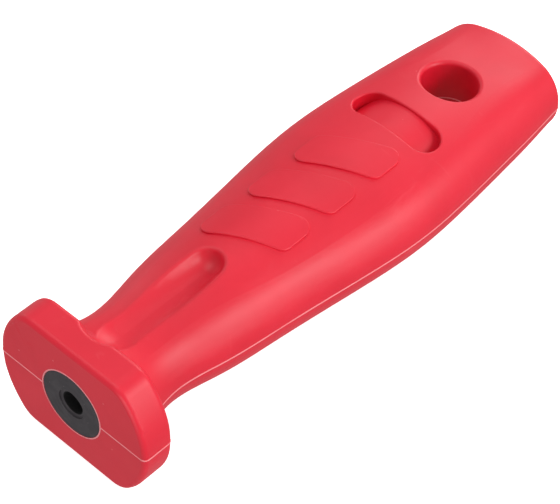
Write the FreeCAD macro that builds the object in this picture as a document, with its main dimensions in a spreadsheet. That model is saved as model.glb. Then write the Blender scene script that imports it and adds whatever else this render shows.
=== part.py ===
import FreeCAD, Part
import os
import Sketcher
from FreeCAD import Vector

# A moulded file handle: one red grip with a guard, thumb grooves, finger pads, recesses and a hang
# hole, and one black bush pressed into the guard that takes the tang of the file.
# X runs from the guard's front face to the butt, Z is normal to the mould's parting plane, Y is the width.

# alias, value in mm (shares and slopes are plain ratios), what it is
DRIVING = (
    ("overall_length", 115.0, "guard face to butt"),
    ("guard_radius", 17.15, "round sides of the guard"),
    ("guard_half_height", 13.0, "top and bottom flats of the guard"),
    ("guard_thickness", 6.5, "front face to back face of the guard"),
    ("guard_corner_radius", 4.5, "where the flats meet the round sides"),
    ("guard_edge_share", 0.29, "edge rounding, as a share of the step up from the neck"),
    ("neck_fillet_share", 0.6, "fillet behind the guard, as a share of the same step"),
    ("neck_half_width", 10.35, "narrowest place behind the guard"),
    ("neck_half_height", 8.4, "narrowest place behind the guard"),
    ("neck_flare", 2.2, "extra half width where the neck meets the guard"),
    ("neck_rise", 0.9, "extra half height where the neck meets the guard"),
    ("neck_run", 6.5, "back of the guard to the narrowest place"),
    ("belly_half_width", 17.1, "widest place"),
    ("belly_half_height", 10.5, "tallest place"),
    ("butt_half_width", 13.7, "at the butt"),
    ("butt_half_height", 8.0, "at the butt"),
    ("butt_bulge", 1.1, "the end face stands this far past its own corners"),
    ("butt_edge_radius", 1.2, "edge rounding of the end face"),
    ("trim_overreach", 1.3, "half width of the end face's cutter, share of the butt's half width"),
    ("trim_far", 1.1, "back of that cutter, share of the length"),
    ("root_at", 0.4, "first station, share of the guard's thickness"),
    ("flare_at", 0.25, "second station, share of the neck run"),
    ("flare_left", 0.5, "share of the flare still there"),
    ("rise_at", 0.209, "station, share of the length"),
    ("rise_widen", 0.2, "share of the way from neck to belly, width"),
    ("rise_deepen", 0.47, "the same, height"),
    ("swell_at", 0.33, "station, share of the length"),
    ("swell_widen", 0.467, "share of the way from neck to belly, width"),
    ("swell_deepen", 0.92, "the same, height"),
    ("palm_at", 0.47, "station, share of the length"),
    ("palm_widen", 0.778, "share of the way from neck to belly, width"),
    ("palm_deepen", 1.0, "the same, height"),
    ("belly_at", 0.609, "widest station, share of the length"),
    ("fall_at", 0.73, "station, share of the length"),
    ("fall_taper", 0.171, "share of the way from belly to butt, width"),
    ("fall_thin", 0.06, "the same, height"),
    ("heel_at", 0.843, "station, share of the length"),
    ("heel_taper", 0.51, "share of the way from belly to butt, width"),
    ("heel_thin", 0.45, "the same, height"),
    ("tail_at", 0.935, "station, share of the length"),
    ("tail_taper", 0.83, "share of the way from belly to butt, width"),
    ("tail_thin", 0.79, "the same, height"),
    ("butt_at", 1.02, "last station, past the end so that it can be trimmed"),
    ("butt_taper", 1.06, "share of the way from belly to butt, width"),
    ("butt_thin", 1.05, "the same, height"),
    ("shoulder_front", 0.93, "side radius over half height, neck"),
    ("shoulder_middle", 0.83, "side radius over half height, belly"),
    ("shoulder_butt", 0.95, "side radius over half height, butt"),
    ("groove_rear", 0.303, "rear end of the thumb groove, share of the length"),
    ("groove_floor", 0.9, "groove floor at its rear end, share of the neck half height"),
    ("groove_rear_radius", 3.3, "channel radius at the rear end"),
    ("groove_front_floor", 0.867, "the same at its front end"),
    ("groove_front_radius", 7.0, "channel radius at the front end"),
    ("groove_bite", 1.6, "the round front end cuts this far into the back of the guard"),
    ("groove_lip_radius", 0.8, "softened rim of the groove"),
    ("pad_first", 0.379, "centre of the first pad, share of the length"),
    ("pad_pitch", 0.103, "pad to pad, share of the length"),
    ("pad_half_width", 4.5, "half width of a pad along the handle"),
    ("pad_half_length", 7.45, "half length of a pad across the handle"),
    ("pad_slant", 0.54, "how far the long sides lean back for each mm across"),
    ("pad_corner_radius", 2.2, "corners of a pad"),
    ("pad_step", 0.4, "pad top above the skin round it"),
    ("pad_edge_radius", 0.2, "top edge of a pad"),
    ("recess_centre", 0.7035, "centre of the recess, share of the length"),
    ("recess_half_width", 3.5, "half width along the handle"),
    ("recess_half_length", 9.3, "half length across the handle"),
    ("recess_corner_radius", 3.3, "nearly full round ends of the recess"),
    ("recess_rim_radius", 0.3, "softened rim of the recess"),
    ("recess_depth", 0.65, "floor below the belly on the centre line"),
    ("recess_floor_radius", 12.5, "crown of the recess floor"),
    ("core_margin", 0.6, "the floor's core reaches this far into the walls"),
    ("hole_centre", 0.8365, "centre of the hang hole, share of the length"),
    ("hole_radius", 5.45, "hang hole"),
    ("hole_rim_radius", 0.7, "softened rim of the hang hole"),
    ("bush_radius", 6.65, "head of the bush"),
    ("bush_head", 3.0, "thickness of the head"),
    ("bush_edge", 0.25, "bevel round the head's face"),
    ("stem_share", 0.72, "stem radius over head radius"),
    ("rib_share", 0.84, "retaining rib radius over head radius"),
    ("rib_width", 2.0, "width of a retaining rib"),
    ("rib_first", 9.0, "front of the first rib"),
    ("rib_pitch", 8.0, "rib to rib"),
    ("bush_length", 34.0, "length of the bush"),
    ("tang_radius", 2.2, "tang hole"),
    ("tang_depth", 30.0, "depth of the tang hole"),
    ("tang_point", 1.3, "drill point past that depth"),
    ("lead_radius", 2.9, "shallow step round the mouth of the tang hole"),
    ("lead_depth", 0.4, "depth of that step"),
)

# alias, formula over the driving sheet, what it is
WORKED = (
    ("neck_step", "=Dims.guard_half_height - Dims.neck_half_height - Dims.neck_rise", "guard over neck"),
    ("guard_edge_radius", "=Dims.guard_edge_share * neck_step", "front and back edges"),
    ("neck_fillet_radius", "=Dims.neck_fillet_share * neck_step", "behind the guard"),
    ("guard_side", "=sqrt(Dims.guard_radius ^ 2 - Dims.guard_half_height ^ 2)", "end of a guard flat"),
    (
        "pad_run",
        "=Dims.pad_half_width - Dims.pad_corner_radius * sqrt(1 + Dims.pad_slant ^ 2)",
        "pad centre to corner centre, along the handle",
    ),
    ("pad_reach", "=Dims.pad_half_length - Dims.pad_corner_radius", "the same, across it"),
    ("pad_span", "=2 * (Dims.belly_half_height + 2 * Dims.pad_step)", "untrimmed, through the handle"),
    ("pad_row", "=2 * Dims.pad_pitch * Dims.overall_length", "first pad to last"),
    ("pad_area", "=4 * Dims.pad_half_width * Dims.pad_half_length", "about the area of a pad's top"),
    ("pad_x", "=Dims.pad_first * Dims.overall_length", "centre of the first pad"),
    ("pad_x_a", "=pad_x - pad_run - Dims.pad_slant * pad_reach", "front corner, +Y end"),
    ("pad_x_b", "=pad_x - pad_run + Dims.pad_slant * pad_reach", "front corner, -Y end"),
    ("pad_x_c", "=pad_x + pad_run + Dims.pad_slant * pad_reach", "rear corner, -Y end"),
    ("pad_x_d", "=pad_x + pad_run - Dims.pad_slant * pad_reach", "rear corner, +Y end"),
    ("recess_x", "=Dims.recess_centre * Dims.overall_length", "centre of the recess"),
    ("recess_front", "=recess_x - Dims.recess_half_width + Dims.recess_corner_radius", "front corners"),
    ("recess_back", "=recess_x + Dims.recess_half_width - Dims.recess_corner_radius", "rear corners"),
    ("recess_reach", "=Dims.recess_half_length - Dims.recess_corner_radius", "to the corners' centres"),
    ("recess_floor_top", "=Dims.belly_half_height - Dims.recess_depth", "floor on the centre line"),
    ("recess_floor_axis", "=recess_floor_top - Dims.recess_floor_radius", "centre of the floor's crown"),
    ("core_front", "=recess_x - Dims.recess_half_width - Dims.core_margin", "front of the core"),
    ("core_length", "=2 * (Dims.recess_half_width + Dims.core_margin)", "its length along the handle"),
    ("core_side", "=Dims.recess_half_length + Dims.core_margin", "its half width"),
    ("core_side_z", "=recess_floor_axis + sqrt(Dims.recess_floor_radius ^ 2 - core_side ^ 2)", "its edge"),
    ("hole_x", "=Dims.hole_centre * Dims.overall_length", "centre of the hang hole"),
    ("groove_x", "=Dims.groove_rear * Dims.overall_length", "rear end of the groove"),
    ("groove_end_x", "=groove_x - Dims.groove_rear_radius", "centre of the round rear end"),
    ("groove_end_low", "=Dims.groove_floor * Dims.neck_half_height", "floor there"),
    ("groove_end_z", "=groove_end_low + Dims.groove_rear_radius", "channel axis there"),
    ("groove_mouth_x", "=Dims.guard_thickness - Dims.groove_bite + Dims.groove_front_radius", "front end"),
    ("groove_mouth_low", "=Dims.groove_front_floor * Dims.neck_half_height", "floor there"),
    ("groove_mouth_z", "=groove_mouth_low + Dims.groove_front_radius", "channel axis there"),
    ("groove_run", "=groove_end_x - groove_mouth_x", "front centre to rear centre, along the handle"),
    ("groove_drop", "=groove_mouth_z - groove_end_z", "the same, fall of the axis"),
    ("groove_lean", "=sqrt(groove_run ^ 2 + groove_drop ^ 2)", "the same, along the axis"),
    ("groove_tip_x", "=groove_end_x + Dims.groove_rear_radius * groove_run / groove_lean", "rear tip"),
    ("groove_tip_z", "=groove_end_z - Dims.groove_rear_radius * groove_drop / groove_lean", "rear tip"),
    ("groove_nose_x", "=groove_mouth_x - Dims.groove_front_radius * groove_run / groove_lean", "front tip"),
    ("groove_nose_z", "=groove_mouth_z + Dims.groove_front_radius * groove_drop / groove_lean", "same"),
    ("butt_reach", "=Dims.butt_half_width * Dims.trim_overreach", "half width of the cutter"),
    ("butt_side_x", "=Dims.overall_length - Dims.butt_bulge * Dims.trim_overreach ^ 2", "end of its arc"),
    ("butt_far_x", "=Dims.overall_length * Dims.trim_far", "back of the cutter"),
    ("stem_radius", "=Dims.bush_radius * Dims.stem_share", "stem of the bush"),
    ("rib_radius", "=Dims.bush_radius * Dims.rib_share", "its retaining ribs"),
    ("bush_bevel_radius", "=Dims.bush_radius - Dims.bush_edge", "inner edge of the head's bevel"),
    ("rib_1", "=Dims.rib_first", "front of the first rib"),
    ("rib_2", "=rib_1 + Dims.rib_pitch", "front of the second rib"),
    ("rib_3", "=rib_2 + Dims.rib_pitch", "front of the third rib"),
    ("rib_1_end", "=rib_1 + Dims.rib_width", "back of the first rib"),
    ("rib_2_end", "=rib_2 + Dims.rib_width", "back of the second rib"),
    ("rib_3_end", "=rib_3 + Dims.rib_width", "back of the third rib"),
    ("tang_tip", "=Dims.tang_depth + Dims.tang_point", "drill point of the tang hole"),
)

# Stations of the handle from guard to butt, and the sheet's shoulder cell each one uses.
SECTIONS = (
    ("root", "shoulder_front"),
    ("flare", "shoulder_front"),
    ("neck", "shoulder_front"),
    ("rise", "shoulder_front"),
    ("swell", "shoulder_swell"),
    ("palm", "shoulder_middle"),
    ("belly", "shoulder_middle"),
    ("fall", "shoulder_fall"),
    ("heel", "shoulder_butt"),
    ("tail", "shoulder_butt"),
    ("butt", "shoulder_butt"),
)
WIDENING = ("rise", "swell", "palm")
TAPERING = ("fall", "heel", "tail", "butt")

# Endings of the cells that size an oval at the skin and at the height of the pads' tops.
SKIN_LEVEL = ""
PAD_LEVEL = "_pad"

# Lengths and cosines that differ by less than CLOSE agree; a pad's top lies within PAD_DRIFT of the
# centre line and its area within AREA_SLACK of the sheet's, as a share.
CLOSE = 0.01
PAD_DRIFT = 1.0
AREA_SLACK = 0.12
PAD_COUNT = 3
FULL_TURN = 360


def fill_sheet(doc, name, rows):
    """One sheet of named cells: the note in column A, the value or formula in column B."""
    sheet = doc.addObject("Spreadsheet::Sheet", name)
    for row, (alias, content, note) in enumerate(rows, start=1):
        sheet.set(f"A{row}", note)
        sheet.set(f"B{row}", str(content))
        sheet.setAlias(f"B{row}", alias)
    return sheet


def section_sizes():
    """Formulas for the place, half width and half height of every station of the handle."""
    neck_w, neck_h = "Dims.neck_half_width", "Dims.neck_half_height"
    belly_w, belly_h = "Dims.belly_half_width", "Dims.belly_half_height"
    sizes = {
        "root": (
            "=Dims.root_at * Dims.guard_thickness",
            f"={neck_w} + Dims.neck_flare",
            f"={neck_h} + Dims.neck_rise",
        ),
        "flare": (
            "=Dims.guard_thickness + Dims.flare_at * Dims.neck_run",
            f"={neck_w} + Dims.flare_left * Dims.neck_flare",
            f"={neck_h} + Dims.flare_left * Dims.neck_rise",
        ),
        "neck": ("=Dims.guard_thickness + Dims.neck_run", f"={neck_w}", f"={neck_h}"),
        "belly": ("=Dims.belly_at * Dims.overall_length", f"={belly_w}", f"={belly_h}"),
    }
    for name in WIDENING:
        sizes[name] = (
            f"=Dims.{name}_at * Dims.overall_length",
            f"={neck_w} + Dims.{name}_widen * ({belly_w} - {neck_w})",
            f"={neck_h} + Dims.{name}_deepen * ({belly_h} - {neck_h})",
        )
    for name in TAPERING:
        sizes[name] = (
            f"=Dims.{name}_at * Dims.overall_length",
            f"={belly_w} - Dims.{name}_taper * ({belly_w} - Dims.butt_half_width)",
            f"={belly_h} - Dims.{name}_thin * ({belly_h} - Dims.butt_half_height)",
        )
    return sizes


def section_rows():
    """The stations as cells, with the radii of the four-centre oval each one carries."""
    rows = [
        ("shoulder_swell", "=(Dims.shoulder_front + Dims.shoulder_middle) / 2", "side over half height"),
        ("shoulder_fall", "=(2 * Dims.shoulder_middle + Dims.shoulder_butt) / 3", "side over half height"),
    ]
    sizes = section_sizes()
    for name, shoulder in SECTIONS:
        owner = "" if shoulder in ("shoulder_swell", "shoulder_fall") else "Dims."
        w, h, r = f"{name}_w", f"{name}_h", f"{name}_side"
        station, width, height = sizes[name]
        crown = f"=(({w} - {r}) ^ 2 + {h} ^ 2 - {r} ^ 2) / (2 * ({h} - {r}))"
        rows.append((f"{name}_x", station, "station along the handle"))
        rows.append((w, width, "half width"))
        rows.append((h, height, "half height"))
        rows.append((r, f"={h} * {owner}{shoulder}", "radius of the rounded side"))
        rows.append((f"{name}_mid", f"={w} - {r}", "centre of that side"))
        rows.append((f"{name}_top", crown, "crown radius"))
        rows.append((f"{name}_side_pad", f"={r} + Dims.pad_step", "side radius at pad height"))
        rows.append((f"{name}_top_pad", f"={name}_top + Dims.pad_step", "crown radius at pad height"))
    return tuple(rows)


def number(doc, reference):
    """The present value of a cell named as Sheet.alias, with an optional minus sign."""
    sheet_name, alias = reference.lstrip("-").split(".")
    value = float(getattr(doc.getObject(sheet_name), alias))
    return -value if reference.startswith("-") else value


def origin_plane(body, role):
    """One of the body's own origin planes."""
    return next(item for item in body.Origin.OriginFeatures if item.Role == role)


def new_sketch(body, name, role, offset=None):
    """A sketch lying on an origin plane, or a named distance off it."""
    sketch = body.newObject("Sketcher::SketchObject", name)
    sketch.AttachmentSupport = (origin_plane(body, role), [""])
    sketch.MapMode = "FlatFace"
    if offset:
        sketch.setExpression("AttachmentOffset.Base.z", offset)
    return sketch


def bind(sketch, kind, *where, to):
    """A dimension driven by a cell."""
    value = number(sketch.Document, to)
    index = sketch.addConstraint(Sketcher.Constraint(kind, *where, value))
    sketch.setExpression(f"Constraints[{index}]", to)


def place(sketch, geometry, point, x, y):
    """Pins one point of a geometry; a coordinate of None lies on the axis."""
    if x is None:
        sketch.addConstraint(Sketcher.Constraint("PointOnObject", geometry, point, -2))
    else:
        bind(sketch, "DistanceX", -1, 1, geometry, point, to=x)
    if y is None:
        sketch.addConstraint(Sketcher.Constraint("PointOnObject", geometry, point, -1))
    else:
        bind(sketch, "DistanceY", -1, 1, geometry, point, to=y)


def draw_polygon(sketch, corners):
    """A closed outline of straight lines through corners named by cells."""
    doc = sketch.Document
    at = [Vector(number(doc, x) if x else 0, number(doc, y) if y else 0, 0) for x, y in corners]
    for index, start in enumerate(at):
        sketch.addGeometry(Part.LineSegment(start, at[(index + 1) % len(at)]), False)
    for index in range(len(at)):
        sketch.addConstraint(Sketcher.Constraint("Coincident", index, 2, (index + 1) % len(at), 1))
    for index, (x, y) in enumerate(corners):
        place(sketch, index, 1, x, y)


def draw_circle(sketch, x, y, radius):
    """A circle whose centre and radius are cells."""
    doc = sketch.Document
    centre = Vector(number(doc, x) if x else 0, number(doc, y) if y else 0, 0)
    circle = sketch.addGeometry(Part.Circle(centre, Vector(0, 0, 1), number(doc, radius)), False)
    place(sketch, circle, 3, x, y)
    bind(sketch, "Radius", circle, to=radius)


def arc_about(centre, start, end):
    """The shorter arc round a centre from one point to another."""
    radius = (start - centre).Length
    middle = ((start - centre) + (end - centre)).normalize() * radius + centre
    return Part.Arc(start, middle, end)


def draw_rounded(sketch, centres, radius):
    """A convex outline with equal round corners, given anticlockwise by the corners' centres."""
    doc = sketch.Document
    at = [Vector(number(doc, x), number(doc, y), 0) for x, y in centres]
    size = number(doc, radius)
    count = len(at)
    outward = []
    for index in range(count):
        run = at[(index + 1) % count] - at[index]
        outward.append(Vector(run.y, -run.x, 0).normalize() * size)
    for index in range(count):
        start, end = at[index] + outward[index - 1], at[index] + outward[index]
        sketch.addGeometry(arc_about(at[index], start, end), False)
    for index in range(count):
        ahead = (index + 1) % count
        sketch.addGeometry(Part.LineSegment(at[index] + outward[index], at[ahead] + outward[index]), False)
    for index in range(count):
        sketch.addConstraint(Sketcher.Constraint("Tangent", index, 2, count + index, 1))
        sketch.addConstraint(Sketcher.Constraint("Tangent", count + index, 2, (index + 1) % count, 1))
    bind(sketch, "Radius", 0, to=radius)
    for index in range(1, count):
        sketch.addConstraint(Sketcher.Constraint("Equal", 0, index))
    for index, (x, y) in enumerate(centres):
        place(sketch, index, 3, x, y)


def draw_oval(sketch, name, level):
    """A four-centre oval for one station, at the skin or at the pads' level: two sides and two crowns."""
    doc = sketch.Document
    mid = number(doc, f"Worked.{name}_mid")
    drop = number(doc, f"Worked.{name}_top") - number(doc, f"Worked.{name}_h")
    side = number(doc, f"Worked.{name}_side{level}")
    crown = number(doc, f"Worked.{name}_top{level}")
    right, left = Vector(mid, 0, 0), Vector(-mid, 0, 0)
    below, above = Vector(0, -drop, 0), Vector(0, drop, 0)
    reach = crown / (crown - side)
    joint_x = mid * reach
    joint_y = drop * reach - drop
    ne, nw = Vector(joint_x, joint_y, 0), Vector(-joint_x, joint_y, 0)
    sw, se = Vector(-joint_x, -joint_y, 0), Vector(joint_x, -joint_y, 0)
    arcs = ((right, se, ne), (below, ne, nw), (left, nw, sw), (above, sw, se))
    for centre, start, end in arcs:
        sketch.addGeometry(arc_about(centre, start, end), False)
    for index in range(len(arcs)):
        sketch.addConstraint(Sketcher.Constraint("Tangent", index, 2, (index + 1) % len(arcs), 1))
    place(sketch, 0, 3, f"Worked.{name}_mid", None)
    sketch.addConstraint(Sketcher.Constraint("PointOnObject", 1, 3, -2))
    sketch.addConstraint(Sketcher.Constraint("Symmetric", 0, 3, 2, 3, -1, 1))
    bind(sketch, "Radius", 0, to=f"Worked.{name}_side{level}")
    bind(sketch, "Radius", 1, to=f"Worked.{name}_top{level}")
    sketch.addConstraint(Sketcher.Constraint("Equal", 1, 3))


def near(first, second, slack=CLOSE):
    """True when two lengths agree."""
    return abs(first - second) < slack


def edge_names(shape, edges):
    """The names of given edges within a shape."""
    names = []
    for index, edge in enumerate(shape.Edges, start=1):
        if any(edge.isSame(other) for other in edges):
            names.append(f"Edge{index}")
    return names


def flat_face(shape, axis, position):
    """The largest plane face whose plane crosses an axis squarely at a position."""
    found = []
    for face in shape.Faces:
        if isinstance(face.Surface, Part.Plane):
            normal = face.normalAt(0, 0)
            if near(abs(normal.dot(axis)), 1) and near(face.CenterOfMass.dot(axis), position):
                found.append(face)
    return max(found, key=lambda face: face.Area)


def inner_wires(face):
    """The wires that bound the holes of a face."""
    return [wire for wire in face.Wires if not wire.isSame(face.OuterWire)]


def once_only(faces):
    """The edges that only one of the given faces has: the outline they make together."""
    edges = [edge for face in faces for edge in face.Edges]
    return [edge for edge in edges if sum(edge.isSame(other) for other in edges) == 1]


def between(shape, low, high):
    """The faces that lie wholly between two stations of the handle."""
    found = []
    for face in shape.Faces:
        box = face.BoundBox
        if box.XMin > low - CLOSE and box.XMax < high + CLOSE:
            found.append(face)
    return found


def fillet(body, name, edges, radius):
    """A fillet of given edges of the body's tip, its radius a cell."""
    base = body.Tip
    feature = body.newObject("PartDesign::Fillet", name)
    feature.Base = (base, edge_names(base.Shape, edges))
    feature.setExpression("Radius", radius)
    body.Document.recompute()


def pad(body, name, sketch, length, midplane=False):
    """A pad whose length is a cell."""
    feature = body.newObject("PartDesign::Pad", name)
    feature.Profile = (sketch, [""])
    feature.setExpression("Length", length)
    feature.Midplane = midplane
    return feature


def pocket_through(body, name, sketch):
    """A pocket cut both ways through everything."""
    feature = body.newObject("PartDesign::Pocket", name)
    feature.Profile = (sketch, [""])
    feature.Type = "ThroughAll"
    feature.Midplane = True


def mirror(body, name, features):
    """Repeats features on the other side of the parting plane."""
    feature = body.newObject("PartDesign::Mirrored", name)
    feature.Originals = features
    feature.MirrorPlane = (origin_plane(body, "XY_Plane"), [""])
    body.Tip = feature
    body.Document.recompute()


def loft_handle(body, level):
    """The handle's swelling form, a loft through ovals from inside the guard to past the butt."""
    sketches = []
    for name, _ in SECTIONS:
        sketch = new_sketch(body, f"section_{name}{level}", "YZ_Plane", f"Worked.{name}_x")
        draw_oval(sketch, name, level)
        sketches.append(sketch)
    body.Document.recompute()
    loft = body.newObject("PartDesign::AdditiveLoft", f"handle_loft{level}")
    loft.Profile = (sketches[0], [""])
    loft.Sections = [(sketch, [""]) for sketch in sketches[1:]]
    loft.Ruled = False
    body.Document.recompute()


def trim_butt(body):
    """The end face, bowed in plan, and its rounded edge."""
    doc = body.Document
    sketch = new_sketch(body, "butt_trim_sketch", "XY_Plane")
    side = Vector(number(doc, "Worked.butt_side_x"), number(doc, "Worked.butt_reach"), 0)
    far = Vector(number(doc, "Worked.butt_far_x"), side.y, 0)
    crown = Vector(number(doc, "Dims.overall_length"), 0, 0)
    low, far_low = Vector(side.x, -side.y, 0), Vector(far.x, -side.y, 0)
    sketch.addGeometry(Part.Arc(low, crown, side), False)
    for start, end in ((side, far), (far, far_low), (far_low, low)):
        sketch.addGeometry(Part.LineSegment(start, end), False)
    for first, last in ((0, 1), (1, 2), (2, 3)):
        sketch.addConstraint(Sketcher.Constraint("Coincident", first, 2, last, 1))
    sketch.addConstraint(Sketcher.Constraint("Coincident", 3, 2, 0, 1))
    apex = sketch.addGeometry(Part.Point(crown), True)
    place(sketch, apex, 1, "Dims.overall_length", None)
    sketch.addConstraint(Sketcher.Constraint("PointOnObject", apex, 1, 0))
    place(sketch, 0, 2, "Worked.butt_side_x", "Worked.butt_reach")
    place(sketch, 0, 1, "Worked.butt_side_x", "-Worked.butt_reach")
    place(sketch, 2, 1, "Worked.butt_far_x", "Worked.butt_reach")
    place(sketch, 2, 2, "Worked.butt_far_x", "-Worked.butt_reach")
    pocket_through(body, "butt_trim", sketch)
    doc.recompute()
    end = max(body.Tip.Shape.Faces, key=lambda face: face.CenterOfMass.x)
    fillet(body, "butt_edge", end.OuterWire.Edges, "Dims.butt_edge_radius")


def add_guard(body):
    """The guard: a disc with flats top and bottom, filleted to the neck and rounded on its edges."""
    doc = body.Document
    sketch = new_sketch(body, "guard_sketch", "YZ_Plane")
    y, z = number(doc, "Worked.guard_side"), number(doc, "Dims.guard_half_height")
    radius = number(doc, "Dims.guard_radius")
    ne, nw, sw, se = Vector(y, z, 0), Vector(-y, z, 0), Vector(-y, -z, 0), Vector(y, -z, 0)
    sketch.addGeometry(Part.Arc(se, Vector(radius, 0, 0), ne), False)
    sketch.addGeometry(Part.LineSegment(ne, nw), False)
    sketch.addGeometry(Part.Arc(nw, Vector(-radius, 0, 0), sw), False)
    sketch.addGeometry(Part.LineSegment(sw, se), False)
    for index in range(4):
        sketch.addConstraint(Sketcher.Constraint("Coincident", index, 2, (index + 1) % 4, 1))
    for arc in (0, 2):
        sketch.addConstraint(Sketcher.Constraint("Coincident", arc, 3, -1, 1))
    bind(sketch, "Radius", 0, to="Dims.guard_radius")
    sketch.addConstraint(Sketcher.Constraint("Equal", 0, 2))
    sketch.addConstraint(Sketcher.Constraint("Horizontal", 1))
    sketch.addConstraint(Sketcher.Constraint("Horizontal", 3))
    bind(sketch, "DistanceY", -1, 1, 1, 1, to="Dims.guard_half_height")
    bind(sketch, "DistanceY", 3, 1, -1, 1, to="Dims.guard_half_height")
    pad(body, "guard", sketch, "Dims.guard_thickness")
    doc.recompute()
    corners = [edge for edge in body.Tip.Shape.Edges if is_guard_corner(doc, edge)]
    fillet(body, "guard_corners", corners, "Dims.guard_corner_radius")
    back = flat_face(body.Tip.Shape, Vector(1, 0, 0), number(doc, "Dims.guard_thickness"))
    junction = [edge for wire in inner_wires(back) for edge in wire.Edges]
    fillet(body, "neck_fillet", junction, "Worked.neck_fillet_radius")
    back = flat_face(body.Tip.Shape, Vector(1, 0, 0), number(doc, "Dims.guard_thickness"))
    fillet(body, "guard_back_edge", back.OuterWire.Edges, "Worked.guard_edge_radius")
    front = flat_face(body.Tip.Shape, Vector(1, 0, 0), 0)
    fillet(body, "guard_front_edge", front.OuterWire.Edges, "Worked.guard_edge_radius")


def is_guard_corner(doc, edge):
    """True for the four edges along X where the guard's flats meet its round sides."""
    box = edge.BoundBox
    tall = near(abs(box.Center.z), number(doc, "Dims.guard_half_height"))
    wide = near(abs(box.Center.y), number(doc, "Worked.guard_side"))
    return tall and wide


def cut_thumb_grooves(body):
    """A tapering channel with round ends, the front one biting into the guard, top and bottom."""
    doc = body.Document
    sketch = new_sketch(body, "groove_sketch", "XZ_Plane")
    names = (
        ("Worked.groove_nose_x", "Worked.groove_nose_z"),
        ("Worked.groove_mouth_x", "Worked.groove_mouth_low"),
        ("Worked.groove_end_x", "Worked.groove_end_low"),
        ("Worked.groove_tip_x", "Worked.groove_tip_z"),
        ("Worked.groove_mouth_x", "Worked.groove_mouth_z"),
        ("Worked.groove_end_x", "Worked.groove_end_z"),
    )
    nose, front, rear, tip, mouth, end = [Vector(number(doc, x), number(doc, z), 0) for x, z in names]
    sketch.addGeometry(arc_about(mouth, nose, front), False)
    sketch.addGeometry(Part.LineSegment(front, rear), False)
    sketch.addGeometry(arc_about(end, rear, tip), False)
    sketch.addGeometry(Part.LineSegment(tip, nose), False)
    axis = sketch.addGeometry(Part.LineSegment(end, mouth), True)
    for index in range(4):
        sketch.addConstraint(Sketcher.Constraint("Coincident", index, 2, (index + 1) % 4, 1))
    sketch.addConstraint(Sketcher.Constraint("Coincident", 0, 3, axis, 2))
    sketch.addConstraint(Sketcher.Constraint("Coincident", 2, 3, axis, 1))
    place(sketch, axis, 1, *names[5])
    place(sketch, axis, 2, *names[4])
    place(sketch, 1, 1, *names[1])
    place(sketch, 1, 2, *names[2])
    sketch.addConstraint(Sketcher.Constraint("PointOnObject", 0, 1, axis))
    sketch.addConstraint(Sketcher.Constraint("PointOnObject", 2, 2, axis))
    groove = body.newObject("PartDesign::Groove", "thumb_groove")
    groove.Profile = (sketch, [""])
    groove.ReferenceAxis = (sketch, ["Axis0"])
    groove.Angle = FULL_TURN
    doc.recompute()
    mirror(body, "thumb_grooves", [groove])
    channel = [face for face in body.Tip.Shape.Faces if is_channel(face)]
    fillet(body, "groove_lips", once_only(channel), "Dims.groove_lip_radius")


def is_channel(face):
    """True for the faces a thumb groove leaves behind."""
    return isinstance(face.Surface, (Part.Cone, Part.Sphere, Part.SurfaceOfRevolution))


def add_pads(body):
    """Three leaning pads, top and bottom, whose tops follow the skin a small step above it."""
    doc = body.Document
    sketch = new_sketch(body, "pad_sketch", "XY_Plane")
    centres = (
        ("Worked.pad_x_a", "Worked.pad_reach"),
        ("Worked.pad_x_b", "-Worked.pad_reach"),
        ("Worked.pad_x_c", "-Worked.pad_reach"),
        ("Worked.pad_x_d", "Worked.pad_reach"),
    )
    draw_rounded(sketch, centres, "Dims.pad_corner_radius")
    first = pad(body, "finger_pad", sketch, "Worked.pad_span", midplane=True)
    doc.recompute()
    row = body.newObject("PartDesign::LinearPattern", "finger_pad_row")
    row.Originals = [first]
    row.Direction = (origin_plane(body, "X_Axis"), [""])
    row.Occurrences = PAD_COUNT
    row.setExpression("Length", "Worked.pad_row")
    body.Tip = row
    doc.recompute()
    limit = doc.addObject("PartDesign::Body", "pad_limit")
    loft_handle(limit, PAD_LEVEL)
    trim = body.newObject("PartDesign::Boolean", "pad_tops")
    trim.Type = "Common"
    trim.setObjects([limit])
    doc.recompute()
    tops = [face for face in body.Tip.Shape.Faces if is_pad_top(doc, face)]
    fillet(body, "pad_edges", once_only(tops), "Dims.pad_edge_radius")


def is_pad_top(doc, face):
    """True for the crowned top of a pad, told by its area and its place on the centre line."""
    share = face.Area / number(doc, "Worked.pad_area")
    centre = face.CenterOfMass
    aloft = abs(centre.z) > number(doc, "Dims.neck_half_height")
    return aloft and near(centre.y, 0, PAD_DRIFT) and 1 - AREA_SLACK < share < 1 + AREA_SLACK


def add_recesses(body):
    """A rounded slot right through, refilled with a crowned core, leaves a recess on both sides."""
    doc = body.Document
    slot = new_sketch(body, "recess_sketch", "XY_Plane")
    centres = (
        ("Worked.recess_front", "Worked.recess_reach"),
        ("Worked.recess_front", "-Worked.recess_reach"),
        ("Worked.recess_back", "-Worked.recess_reach"),
        ("Worked.recess_back", "Worked.recess_reach"),
    )
    draw_rounded(slot, centres, "Dims.recess_corner_radius")
    pocket_through(body, "recess_slot", slot)
    doc.recompute()
    middle, reach = number(doc, "Worked.recess_x"), number(doc, "Dims.recess_half_width")
    walls = between(body.Tip.Shape, middle - reach, middle + reach)
    fillet(body, "recess_rims", once_only(walls), "Dims.recess_rim_radius")
    core = new_sketch(body, "recess_core_sketch", "YZ_Plane", "Worked.core_front")
    draw_lens(core)
    pad(body, "recess_core", core, "Worked.core_length")
    body.Document.recompute()


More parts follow.
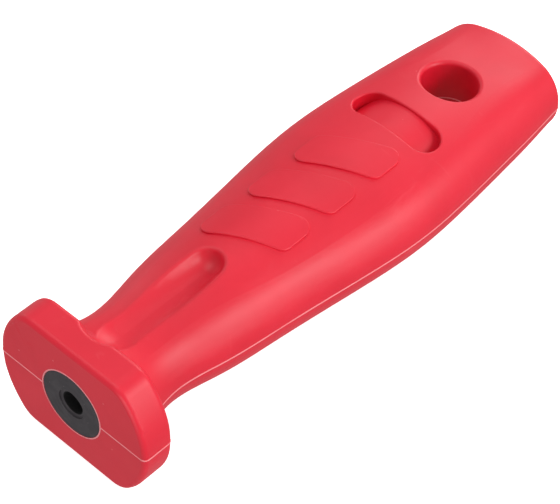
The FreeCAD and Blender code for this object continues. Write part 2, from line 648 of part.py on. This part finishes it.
def draw_lens(sketch):
    """The core's outline: two crowned floors joined by short upright sides."""
    doc = sketch.Document
    y, z = number(doc, "Worked.core_side"), number(doc, "Worked.core_side_z")
    top = number(doc, "Worked.recess_floor_top")
    ne, nw, sw, se = Vector(y, z, 0), Vector(-y, z, 0), Vector(-y, -z, 0), Vector(y, -z, 0)
    sketch.addGeometry(Part.Arc(ne, Vector(0, top, 0), nw), False)
    sketch.addGeometry(Part.LineSegment(nw, sw), False)
    sketch.addGeometry(Part.Arc(sw, Vector(0, -top, 0), se), False)
    sketch.addGeometry(Part.LineSegment(se, ne), False)
    for index in range(4):
        sketch.addConstraint(Sketcher.Constraint("Coincident", index, 2, (index + 1) % 4, 1))
    place(sketch, 1, 1, "-Worked.core_side", "Worked.core_side_z")
    place(sketch, 1, 2, "-Worked.core_side", "-Worked.core_side_z")
    place(sketch, 3, 1, "Worked.core_side", "-Worked.core_side_z")
    place(sketch, 3, 2, "Worked.core_side", "Worked.core_side_z")
    bind(sketch, "Radius", 0, to="Dims.recess_floor_radius")
    bind(sketch, "Radius", 2, to="Dims.recess_floor_radius")


def cut_hang_hole(body):
    """A round hole through the butt end with a softened rim on both sides."""
    doc = body.Document
    sketch = new_sketch(body, "hole_sketch", "XY_Plane")
    draw_circle(sketch, "Worked.hole_x", None, "Dims.hole_radius")
    pocket_through(body, "hang_hole", sketch)
    doc.recompute()
    bore = [face for face in body.Tip.Shape.Faces if is_hang_hole(doc, face)]
    rims = [edge for edge in once_only(bore) if not edge.isSeam(bore[0])]
    fillet(body, "hole_rims", rims, "Dims.hole_rim_radius")


def is_hang_hole(doc, face):
    """True for the wall of the hang hole."""
    if not isinstance(face.Surface, Part.Cylinder):
        return False
    upright = near(abs(face.Surface.Axis.z), 1)
    return upright and near(face.Surface.Radius, number(doc, "Dims.hole_radius"))


def bush_outline(bevelled):
    """Half section of the bush along X: a head, then a stem with three retaining ribs."""
    corners = [(None, None)]
    if bevelled:
        corners += [(None, "Worked.bush_bevel_radius"), ("Dims.bush_edge", "Dims.bush_radius")]
    else:
        corners += [(None, "Dims.bush_radius")]
    corners += [("Dims.bush_head", "Dims.bush_radius"), ("Dims.bush_head", "Worked.stem_radius")]
    for rib in ("rib_1", "rib_2", "rib_3"):
        corners += [
            (f"Worked.{rib}", "Worked.stem_radius"),
            (f"Worked.{rib}", "Worked.rib_radius"),
            (f"Worked.{rib}_end", "Worked.rib_radius"),
            (f"Worked.{rib}_end", "Worked.stem_radius"),
        ]
    corners += [("Dims.bush_length", "Worked.stem_radius"), ("Dims.bush_length", None)]
    return corners


def turned(body, name, sketch, kind):
    """A full turn of a half section about the handle's axis."""
    feature = body.newObject(kind, name)
    feature.Profile = (sketch, [""])
    feature.ReferenceAxis = (sketch, ["H_Axis"])
    feature.Angle = FULL_TURN
    body.Document.recompute()


def cut_bush_seat(body):
    """The hollow in the guard and neck that the plastic fills round the bush, line to line with it."""
    sketch = new_sketch(body, "seat_sketch", "XY_Plane")
    draw_polygon(sketch, bush_outline(False))
    turned(body, "bush_seat", sketch, "PartDesign::Groove")


def make_grip(doc):
    """The red moulding."""
    body = doc.addObject("PartDesign::Body", "grip")
    loft_handle(body, SKIN_LEVEL)
    trim_butt(body)
    add_pads(body)
    add_guard(body)
    cut_thumb_grooves(body)
    add_recesses(body)
    cut_hang_hole(body)
    cut_bush_seat(body)
    return body


def make_tang_bush(doc):
    """The black insert: head flush with the guard, ribbed stem, blind hole for the tang."""
    body = doc.addObject("PartDesign::Body", "tang_bush")
    outline = new_sketch(body, "bush_sketch", "XY_Plane")
    draw_polygon(outline, bush_outline(True))
    turned(body, "bush_form", outline, "PartDesign::Revolution")
    bore = new_sketch(body, "tang_sketch", "XY_Plane")
    corners = (
        (None, None),
        (None, "Dims.lead_radius"),
        ("Dims.lead_depth", "Dims.lead_radius"),
        ("Dims.lead_depth", "Dims.tang_radius"),
        ("Dims.tang_depth", "Dims.tang_radius"),
        ("Worked.tang_tip", None),
    )
    draw_polygon(bore, corners)
    turned(body, "tang_hole", bore, "PartDesign::Groove")
    return body


def check(doc, bodies):
    """Stops the build when any object failed or any body is not one sound solid."""
    for item in doc.Objects:
        if {"Invalid", "Error"} & set(item.State):
            raise RuntimeError(f"{item.Name} failed to compute")
    for body in bodies:
        shape = body.Shape
        if shape.isNull() or not shape.isValid() or len(shape.Solids) != 1:
            raise RuntimeError(f"{body.Label} is not one sound solid")


def write_parts(bodies):
    """One STEP file per node."""
    os.makedirs("parts", exist_ok=True)
    for body in bodies:
        body.Shape.exportStep(f"parts/{body.Label}.step")


doc = FreeCAD.newDocument("file_handle")
fill_sheet(doc, "Dims", DRIVING)
fill_sheet(doc, "Worked", WORKED + section_rows())
doc.recompute()
bodies = [make_grip(doc), make_tang_bush(doc)]
doc.recompute()
check(doc, bodies)
write_parts(bodies)
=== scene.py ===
import math

import bpy
from mathutils import Matrix, Vector


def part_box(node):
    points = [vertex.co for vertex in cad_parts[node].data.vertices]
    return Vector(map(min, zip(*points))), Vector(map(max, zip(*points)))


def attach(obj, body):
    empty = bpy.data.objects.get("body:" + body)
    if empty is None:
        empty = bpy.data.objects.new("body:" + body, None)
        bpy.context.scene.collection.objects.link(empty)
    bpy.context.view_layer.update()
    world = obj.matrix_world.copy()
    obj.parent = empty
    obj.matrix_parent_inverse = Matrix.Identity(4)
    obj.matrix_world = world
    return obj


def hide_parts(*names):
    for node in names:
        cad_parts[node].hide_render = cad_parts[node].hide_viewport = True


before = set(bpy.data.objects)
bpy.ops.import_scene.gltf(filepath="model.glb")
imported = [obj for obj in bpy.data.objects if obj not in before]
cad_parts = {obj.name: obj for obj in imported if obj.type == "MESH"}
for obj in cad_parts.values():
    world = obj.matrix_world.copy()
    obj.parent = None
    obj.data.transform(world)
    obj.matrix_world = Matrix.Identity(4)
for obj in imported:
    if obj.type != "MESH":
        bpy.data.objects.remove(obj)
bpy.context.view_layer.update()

# ---------------------------------------------------------------------------------------------------
# Grip: one satin red moulding with a guard, thumb groove, leaning pads, recess and hang hole. The two
# halves of its mould leave a thin raised line of flash all round where they meet, so the moulding's
# own skin stands a hair below the model's and the flash reaches up to it.
# ---------------------------------------------------------------------------------------------------

MM = 0.001
FLASH_HALF_WIDTH = 0.11 * MM
FLASH_FOOT = 0.2 * MM
FLASH_HEIGHT = 0.06 * MM
SINK_FULL = 1.2 * MM
SINK_MIDDLE = 2.6 * MM
SINK_END = 4.0 * MM
HAIR = 0.01 * MM

RED = (0.72, 0.009, 0.031, 1.0)
RED_DARK = (0.66, 0.006, 0.025, 1.0)
RED_PALE = (0.80, 0.10, 0.12, 1.0)
FLASH_PINK_AND_HIGHLIGHT = (0.95, 0.34, 0.36, 1.0)


class Signal:
    """One value on its way through a material; arithmetic on it adds Math nodes."""

    def __init__(self, tree, socket=None):
        self.tree = tree
        self.socket = socket

    def node(self, kind, settings=None, inputs=None, output=0):
        """Adds a node: its settings first, then its sockets' values or links."""
        made = self.tree.nodes.new(kind)
        for name, value in (settings or {}).items():
            setattr(made, name, value)
        for name, value in (inputs or {}).items():
            if isinstance(value, Signal):
                self.tree.links.new(value.socket, made.inputs[name])
            else:
                made.inputs[name].default_value = value
        return Signal(self.tree, made.outputs[output])

    def math(self, operation, second=None):
        inputs = {0: self} if second is None else {0: self, 1: second}
        return self.node("ShaderNodeMath", {"operation": operation}, inputs)

    def __add__(self, other):
        return self.math("ADD", other)

    def __sub__(self, other):
        return self.math("SUBTRACT", other)

    def __mul__(self, other):
        return self.math("MULTIPLY", other)

    __radd__ = __add__
    __rmul__ = __mul__

    def size(self):
        return self.math("ABSOLUTE")

    def at_least(self, floor):
        return self.math("MAXIMUM", floor)

    def output(self, number):
        """Another output of the node this comes from."""
        return Signal(self.tree, self.socket.node.outputs[number])

    def band(self, low, high):
        """0 below low, 1 above high, smooth between; low above high turns it over."""
        inputs = {"Value": self, "From Min": low, "From Max": high}
        return self.node("ShaderNodeMapRange", {"interpolation_type": "SMOOTHSTEP"}, inputs)

    def tint(self, ground, colour):
        """The ground colour where this is 0, the other colour where it is 1."""
        inputs = {0: self, 6: ground, 7: colour}
        return self.node("ShaderNodeMix", {"data_type": "RGBA"}, inputs, output=2)


def new_material(name):
    """An empty material, with a signal to start from and its shader."""
    material = bpy.data.materials.new(name)
    material.use_nodes = True
    tree = material.node_tree
    shader = next(node for node in tree.nodes if node.type == "BSDF_PRINCIPLED")
    return material, Signal(tree), shader


def feed(shader, **signals):
    """Links signals to the shader's sockets; Base_Color stands for Base Color."""
    for name, signal in signals.items():
        signal.tree.links.new(signal.socket, shader.inputs[name.replace("_", " ")])


def stretched(start, scale, where):
    """The object's own coordinates, scaled differently along each axis."""
    mapping = {"Vector": where, "Scale": scale}
    return start.node("ShaderNodeMapping", {}, mapping)


def noise(start, where, scale, detail=3.0, roughness=0.5, distortion=0.0):
    """Soft noise from 0 to 1, its scale in lumps per metre."""
    inputs = {"Vector": where, "Scale": scale, "Detail": detail, "Roughness": roughness}
    inputs["Distortion"] = distortion
    return start.node("ShaderNodeTexNoise", {}, inputs)


def red_plastic(name, thinness=0.0):
    """Satin red plastic: flow streaks with a painted highlight on the right shoulder, fine
    spark-eroded grain, dust, pale flash partly painted as a highlight; 1 is all flash.
    """
    material, start, shader = new_material(name)
    where = start.node("ShaderNodeTexCoord", output=3)
    place = start.node("ShaderNodeSeparateXYZ", {}, {"Vector": where})
    along, across, up = place, place.output(1), place.output(2)

    clouds = noise(start, where, 55.0, 4.0, 0.55, 0.4)
    colour = clouds.band(0.35, 0.75).tint(RED, RED_DARK)

    streak_at = stretched(start, (45.0, 150.0, 150.0), where)
    streaks = noise(start, streak_at, 1.0, 5.0, 0.6, 1.6).band(0.56, 0.78)
    # Painted highlight: the pale streaks are much stronger on the shoulder facing minus y, where the
    # sheen falls; elsewhere they are faint flow streaks.
    painted_shoulder_highlight = along.band(0.050, 0.066) * along.band(0.105, 0.088) * across.band(-0.003, -0.010)
    colour = (streaks * painted_shoulder_highlight * 0.22 + streaks * 0.05).tint(colour, RED_PALE)

    dust = start.node("ShaderNodeTexVoronoi", {"feature": "F1"}, {"Vector": where, "Scale": 330.0})
    gate = start.node("ShaderNodeTexVoronoi", {"feature": "F1"}, {"Vector": where, "Scale": 330.0}, 1)
    rare = start.node("ShaderNodeSeparateColor", {}, {"Color": gate})
    specks = dust.band(0.085, 0.035) * rare.band(0.935, 0.945)
    colour = (specks * 0.45).tint(colour, (0.93, 0.42, 0.42, 1.0))
    soot = dust.band(0.06, 0.025) * rare.output(1).band(0.972, 0.98)
    colour = (soot * 0.55).tint(colour, (0.17, 0.012, 0.02, 1.0))

    scuff_at = stretched(start, (260.0, 60.0, 60.0), where)
    scuffs = noise(start, scuff_at, 1.0, 2.0, 0.5, 3.0).band(0.69, 0.74)
    colour = (scuffs * 0.10).tint(colour, RED_PALE)

    # Pale pink along the flash line: partly whitened thin flash, partly a painted highlight along the
    # ridge.
    flash = up.size().band(FLASH_FOOT * 1.1, FLASH_HALF_WIDTH * 0.8).at_least(thinness)
    broken = noise(start, stretched(start, (90.0, 90.0, 1.0), where), 1.0, 3.0).band(0.2, 0.5)
    colour = (flash * (0.45 + broken * 0.35)).tint(colour, FLASH_PINK_AND_HIGHLIGHT)

    satin = noise(start, where, 120.0, 3.0, 0.5, 0.2)
    roughness = 0.40 + satin * 0.10 + streaks * 0.05 + scuffs * 0.10 - flash * 0.08
    grain = noise(start, where, 2600.0, 2.0, 0.6)
    orange_peel = noise(start, where, 420.0, 2.0, 0.5)
    relief = grain * 0.55 + orange_peel * 0.9 - scuffs * 0.25
    bumps = start.node("ShaderNodeBump", {}, {"Strength": 0.16, "Distance": 0.00009, "Height": relief})
    feed(shader, Base_Color=colour, Roughness=roughness, Normal=bumps)
    shader.inputs["IOR"].default_value = 1.49
    shader.inputs["Subsurface Weight"].default_value = 0.10
    shader.inputs["Subsurface Radius"].default_value = (0.004, 0.0006, 0.0005)
    shader.inputs["Subsurface Scale"].default_value = 0.5
    return material


def only(piece):
    """Leaves just one piece selected and active."""
    bpy.ops.object.select_all(action="DESELECT")
    piece.select_set(True)
    bpy.context.view_layer.objects.active = piece


def merged_copy(node, name):
    """A new piece with a node's shape and shading, its loose triangles joined into one skin."""
    piece = bpy.data.objects.new(name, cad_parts[node].data.copy())
    bpy.context.scene.collection.objects.link(piece)
    piece.data.materials.clear()
    corners = piece.data.corner_normals
    faces = [face for face in piece.data.polygons if face.area > 0]
    shading = [corners[index].vector.copy() for face in faces for index in face.loop_indices]
    only(piece)
    bpy.ops.object.mode_set(mode="EDIT")
    bpy.ops.mesh.select_all(action="SELECT")
    bpy.ops.mesh.remove_doubles(threshold=0.0000001)
    bpy.ops.object.mode_set(mode="OBJECT")
    piece.data.normals_split_custom_set(shading)
    return piece


def slice_level(height):
    """Cuts the piece being edited along a level plane, keeping both sides."""
    bpy.ops.mesh.select_all(action="SELECT")
    bpy.ops.mesh.bisect(plane_co=(0, 0, height), plane_no=(0, 0, 1), threshold=HAIR * 0.1)


def lower_skin(piece):
    """Lowers the skin beside the flash line and sets the front face back, the old shading kept."""
    data = piece.data
    shading = [corner.vector.copy() for corner in data.corner_normals]
    outward = [Vector() for _ in data.vertices]
    for loop, normal in zip(data.loops, shading):
        outward[loop.vertex_index] += normal
    for vertex, normal in zip(data.vertices, outward):
        height = abs(vertex.co.z)
        if height < FLASH_HALF_WIDTH + HAIR:
            continue
        if vertex.co.x < FLASH_HEIGHT:
            vertex.co.x = FLASH_HEIGHT
        else:
            fade = (SINK_END - height) / (SINK_END - SINK_FULL)
            vertex.co -= normal.normalized() * FLASH_HEIGHT * min(max(fade, 0.0), 1.0)
    data.update()
    for face in data.polygons:
        if FLASH_HALF_WIDTH < abs(face.center.z) < FLASH_FOOT:
            for index in face.loop_indices:
                shading[index] = face.normal.copy()
    data.normals_split_custom_set(shading)


grip = merged_copy("grip", "grip_moulding")
bpy.ops.object.mode_set(mode="EDIT")
for level in (FLASH_HALF_WIDTH, FLASH_FOOT, SINK_FULL, SINK_MIDDLE, SINK_END):
    slice_level(level)
    slice_level(-level)
bpy.ops.object.mode_set(mode="OBJECT")
lower_skin(grip)
grip.data.materials.append(red_plastic("moulded_red_plastic"))
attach(grip, "root")
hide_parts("grip")

# ---------------------------------------------------------------------------------------------------
# Tang bush: a dull black plastic insert, turned in one with its hidden ribbed stem and moulded or
# pressed into the guard, flush with its face. The tang of the file goes into its hole.
# ---------------------------------------------------------------------------------------------------

BUSH_BLACK = (0.026, 0.020, 0.025, 1.0)
BUSH_GREY = (0.050, 0.042, 0.047, 1.0)
BORE_SHADE_BLACK = (0.002, 0.0015, 0.0018, 1.0)
BUSH_TURNS = 96
CRISP_ANGLE = 32
SEAT_CLEARANCE = 0.02 * MM

bush_low, bush_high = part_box("tang_bush")
bush_radius = bush_high.z - SEAT_CLEARANCE
bush_length = bush_high.x
TANG_RADIUS = 2.2 * MM
LEAD_RADIUS = 2.9 * MM
LEAD_DEPTH = 0.4 * MM
TANG_DEPTH = 30.0 * MM
HEAD_THICKNESS = 3.0 * MM
STEM_RADIUS = 0.72 * bush_high.z
RIB_RADIUS = 0.84 * bush_high.z
RIB_STARTS = (9.0 * MM, 17.0 * MM, 25.0 * MM)
RIB_WIDTH = 2.0 * MM


def black_plastic():
    """Dull black plastic with faint turning rings, grey bloom, a paler ring round the lead-in, painted
    shade down the bore and a few dust specks.
    """
    material, start, shader = new_material("dull_black_plastic")
    where = start.node("ShaderNodeTexCoord", output=3)
    place = start.node("ShaderNodeSeparateXYZ", {}, {"Vector": where})
    across, up = place.output(1), place.output(2)
    radius = (across * across + up * up).math("SQRT")
    bloom = noise(start, where, 420.0, 4.0, 0.6, 0.5)
    colour = bloom.band(0.4, 0.8).tint(BUSH_BLACK, BUSH_GREY)
    # A paler grey ring round the lead-in step.
    pale_lead_ring = radius.band(0.0034, 0.0026) * radius.band(0.0019, 0.0024)
    colour = (pale_lead_ring * 0.25).tint(colour, (0.07, 0.06, 0.065, 1.0))
    dust = start.node("ShaderNodeTexVoronoi", {"feature": "F1"}, {"Vector": where, "Scale": 800.0})
    gate = start.node("ShaderNodeTexVoronoi", {"feature": "F1"}, {"Vector": where, "Scale": 800.0}, 1)
    rare = start.node("ShaderNodeSeparateColor", {}, {"Color": gate})
    specks = dust.band(0.14, 0.05) * rare.band(0.93, 0.95)
    colour = (specks * 0.4).tint(colour, (0.30, 0.27, 0.28, 1.0))
    # Painted shade: the bore, of the same black plastic, is painted near black as if no light reached
    # it; it is also made rougher.
    bore_shade = radius.band(TANG_RADIUS * 1.08, TANG_RADIUS * 1.01)
    colour = bore_shade.tint(colour, BORE_SHADE_BLACK)
    rings = (radius * 5200.0).math("SINE")
    roughness = 0.50 + bloom * 0.14 + bore_shade * 0.36
    relief = rings * 0.35 + noise(start, where, 2400.0, 2.0) * 0.8
    bumps = start.node("ShaderNodeBump", {}, {"Strength": 0.25, "Distance": 0.00006, "Height": relief})
    feed(shader, Base_Color=colour, Roughness=roughness, Normal=bumps)
    shader.inputs["IOR"].default_value = 1.5
    return material


def smooth_faces(piece):
    """Smooth shading with crisp steps, flat faces kept flat beside their rounded edges."""
    only(piece)
    bpy.ops.object.shade_smooth_by_angle(angle=math.radians(CRISP_ANGLE))
    bpy.ops.object.modifier_add(type="WEIGHTED_NORMAL")
    modifier = piece.modifiers[-1]
    modifier.keep_sharp = True
    modifier.weight = 100
    bpy.ops.object.modifier_apply(modifier=modifier.name)


def turned_piece(name, profile, turns):
    """A closed ring section (x, radius) spun about the handle's axis."""
    bpy.ops.object.select_all(action="DESELECT")
    bpy.ops.mesh.primitive_circle_add(vertices=len(profile), radius=1.0, location=(0, 0, 0))
    piece = bpy.context.active_object
    piece.name = name
    piece.data.name = name
    for vertex, (x, radius) in zip(piece.data.vertices, profile):
        vertex.co = (x, 0, radius)
    bpy.ops.object.mode_set(mode="EDIT")
    bpy.ops.mesh.select_all(action="SELECT")
    bpy.ops.mesh.spin(steps=turns, angle=math.tau, center=(0, 0, 0), axis=(1, 0, 0))
    bpy.ops.mesh.select_all(action="SELECT")
    bpy.ops.mesh.remove_doubles(threshold=0.000001)
    bpy.ops.mesh.normals_make_consistent(inside=False)
    bpy.ops.object.mode_set(mode="OBJECT")
    return piece


def rounded(corners, radius, steps=3):
    """The same closed outline with each corner broken by a small arc of straight steps."""
    points = []
    count = len(corners)
    for index, corner in enumerate(corners):
        here = Vector(corner)
        before = (Vector(corners[index - 1]) - here)
        after = (Vector(corners[(index + 1) % count]) - here)
        reach = min(radius, before.length * 0.4, after.length * 0.4)
        start, end = here + before.normalized() * reach, here + after.normalized() * reach
        for step in range(steps + 1):
            t = step / steps
            points.append(tuple(start * (1 - t) ** 2 + here * 2 * t * (1 - t) + end * t ** 2))
    return points


front = FLASH_HEIGHT
outer = [(front, LEAD_RADIUS), (front, bush_radius)]
outer += [(HEAD_THICKNESS, bush_radius), (HEAD_THICKNESS, STEM_RADIUS)]
for start in RIB_STARTS:
    end = start + RIB_WIDTH
    outer += [(start, STEM_RADIUS), (start, RIB_RADIUS), (end, RIB_RADIUS), (end, STEM_RADIUS)]
outer += [(bush_length, STEM_RADIUS), (bush_length, 0.02 * MM)]
inner = [(TANG_DEPTH + 1.2 * MM, 0.02 * MM), (TANG_DEPTH, TANG_RADIUS)]
inner += [(front + LEAD_DEPTH, TANG_RADIUS), (front + LEAD_DEPTH, LEAD_RADIUS)]
bush = turned_piece("tang_bush_insert", rounded(outer + inner, 0.16 * MM), BUSH_TURNS)
bush.data.materials.append(black_plastic())
smooth_faces(bush)
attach(bush, "root")
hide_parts("tang_bush")

# ---------------------------------------------------------------------------------------------------
# Flash ring: a paper-thin lip of red plastic that crept up round the bush when the grip was moulded
# over it. It stands as high as the flash line and closes the gap between bush and guard.
# ---------------------------------------------------------------------------------------------------

RING_INNER = bush_radius + 0.01 * MM
RING_OUTER = bush_radius + 0.30 * MM
RING_TURNS = 128

ring_section = [(0.0, RING_INNER + 0.02 * MM), (0.0, RING_INNER + 0.14 * MM)]
ring_section += [(FLASH_HEIGHT, RING_OUTER), (1.2 * MM, RING_OUTER - 0.1 * MM), (1.2 * MM, RING_INNER)]
flash_ring = turned_piece("bush_flash_ring", rounded(ring_section, 0.04 * MM, 2), RING_TURNS)
for vertex in flash_ring.data.vertices:
    turn = math.atan2(vertex.co.z, vertex.co.y)
    ragged = 0.5 + 0.3 * math.sin(3 * turn + 0.6) + 0.2 * math.sin(7 * turn + 2.1)
    if vertex.co.x < FLASH_HEIGHT * 0.5:
        vertex.co.x += ragged * 0.04 * MM
# The whole ring takes the pale flash pink: partly whitened thin plastic, partly a painted highlight.
flash_ring.data.materials.append(red_plastic("red_flash", 1.0))
smooth_faces(flash_ring)
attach(flash_ring, "root")

# ---------------------------------------------------------------------------------------------------
# Setting: a pale sheet under the handle, tipped the two degrees at which the handle lies on its guard
# and its belly, soft studio boxes round it, and the camera.
# ---------------------------------------------------------------------------------------------------

FLOOR_SIZE = 6.0
FLOOR_WHITE = (0.93, 0.93, 0.93, 1.0)
REST_FRONT = Vector((5.5 * MM, 0, -13.0 * MM))
REST_BACK = Vector((71.9 * MM, 0, -10.92 * MM))

floor_material, floor_start, floor_shader = new_material("pale_sheet")
floor_where = floor_start.node("ShaderNodeTexCoord", output=3)
floor_tone = noise(floor_start, floor_where, 3.0, 2.0).band(0.3, 0.7)
feed(floor_shader, Base_Color=floor_tone.tint(FLOOR_WHITE, (0.95, 0.95, 0.95, 1.0)))
floor_shader.inputs["Roughness"].default_value = 0.9
floor_shader.inputs["Emission Color"].default_value = (1.0, 1.0, 1.0, 1.0)
floor_shader.inputs["Emission Strength"].default_value = 0.8
floor_shader.inputs["Specular IOR Level"].default_value = 0.1
tip = math.atan2(REST_BACK.z - REST_FRONT.z, REST_BACK.x - REST_FRONT.x)
bpy.ops.object.select_all(action="DESELECT")
bpy.ops.mesh.primitive_plane_add(size=FLOOR_SIZE, location=(0, 0, 0))
floor = bpy.context.active_object
floor.name = "pale_floor"
floor.data.transform(Matrix.Translation(REST_FRONT) @ Matrix.Rotation(-tip, 4, "Y"))
floor.data.materials.append(floor_material)
floor.visible_diffuse = False
floor.visible_glossy = False


def softbox(name, place, target, width, height, power):
    """A rectangular studio light facing a point."""
    lamp = bpy.data.lights.new(name, "AREA")
    lamp.shape = "RECTANGLE"
    lamp.size = width
    lamp.size_y = height
    lamp.energy = power
    light = bpy.data.objects.new(name, lamp)
    light.location = place
    light.rotation_euler = (Vector(target) - Vector(place)).to_track_quat("-Z", "Y").to_euler()
    bpy.context.scene.collection.objects.link(light)


softbox("overhead_box", (-0.1, 0.25, 1.1), (0.05, 0, 0), 0.8, 0.8, 4.0)
softbox("right_box", (0.32, -0.75, 0.50), (0.05, 0, 0), 0.45, 0.35, 4.5)
softbox("far_box", (0.95, 0.25, 0.45), (0.05, 0, 0), 0.5, 0.5, 3.0)
softbox("front_box", (-0.9, -0.35, -0.15), (0.0, 0, 0), 0.6, 0.5, 10.5)
softbox("side_box", (0.15, -0.95, 0.06), (0.05, 0, 0), 0.6, 0.4, 2.6)
softbox("left_box", (0.15, 0.95, 0.30), (0.06, 0, 0), 0.4, 0.3, 0.9)

world = bpy.data.worlds.new("studio")
world.use_nodes = True
world.node_tree.nodes["Background"].inputs["Color"].default_value = (1.0, 1.0, 1.0, 1.0)
world.node_tree.nodes["Background"].inputs["Strength"].default_value = 0.45
bpy.context.scene.world = world
bpy.context.scene.view_settings.view_transform = "Standard"

CAMERA_TURN = math.radians(-49.89)
CAMERA_RISE = math.radians(47.26)
CAMERA_ROLL = math.radians(3.49)
CAMERA_OFFSET = Vector((-5.139, -3.750, -51.013)) * 6.65 * MM
CAMERA_LENS = 133.43
SENSOR = 36.0

level_reach = math.cos(CAMERA_RISE)
towards_eye = Vector((math.sin(CAMERA_TURN), -math.cos(CAMERA_TURN), 0)) * level_reach
towards_eye.z = math.sin(CAMERA_RISE)
sideways = Vector((math.cos(CAMERA_TURN), math.sin(CAMERA_TURN), 0))
upwards = towards_eye.cross(sideways)
image_right = sideways * math.cos(CAMERA_ROLL) + upwards * math.sin(CAMERA_ROLL)
image_up = upwards * math.cos(CAMERA_ROLL) - sideways * math.sin(CAMERA_ROLL)
axes = Matrix((image_right, image_up, towards_eye)).transposed()
camera_data = bpy.data.cameras.new("camera")
camera_data.sensor_width = SENSOR
camera_data.lens = CAMERA_LENS
camera_data.clip_start = 0.01
camera_data.clip_end = 20.0
camera = bpy.data.objects.new("camera", camera_data)
bpy.context.scene.collection.objects.link(camera)
camera.matrix_world = Matrix.Translation(axes @ -CAMERA_OFFSET) @ axes.to_4x4()
bpy.context.scene.camera = camera
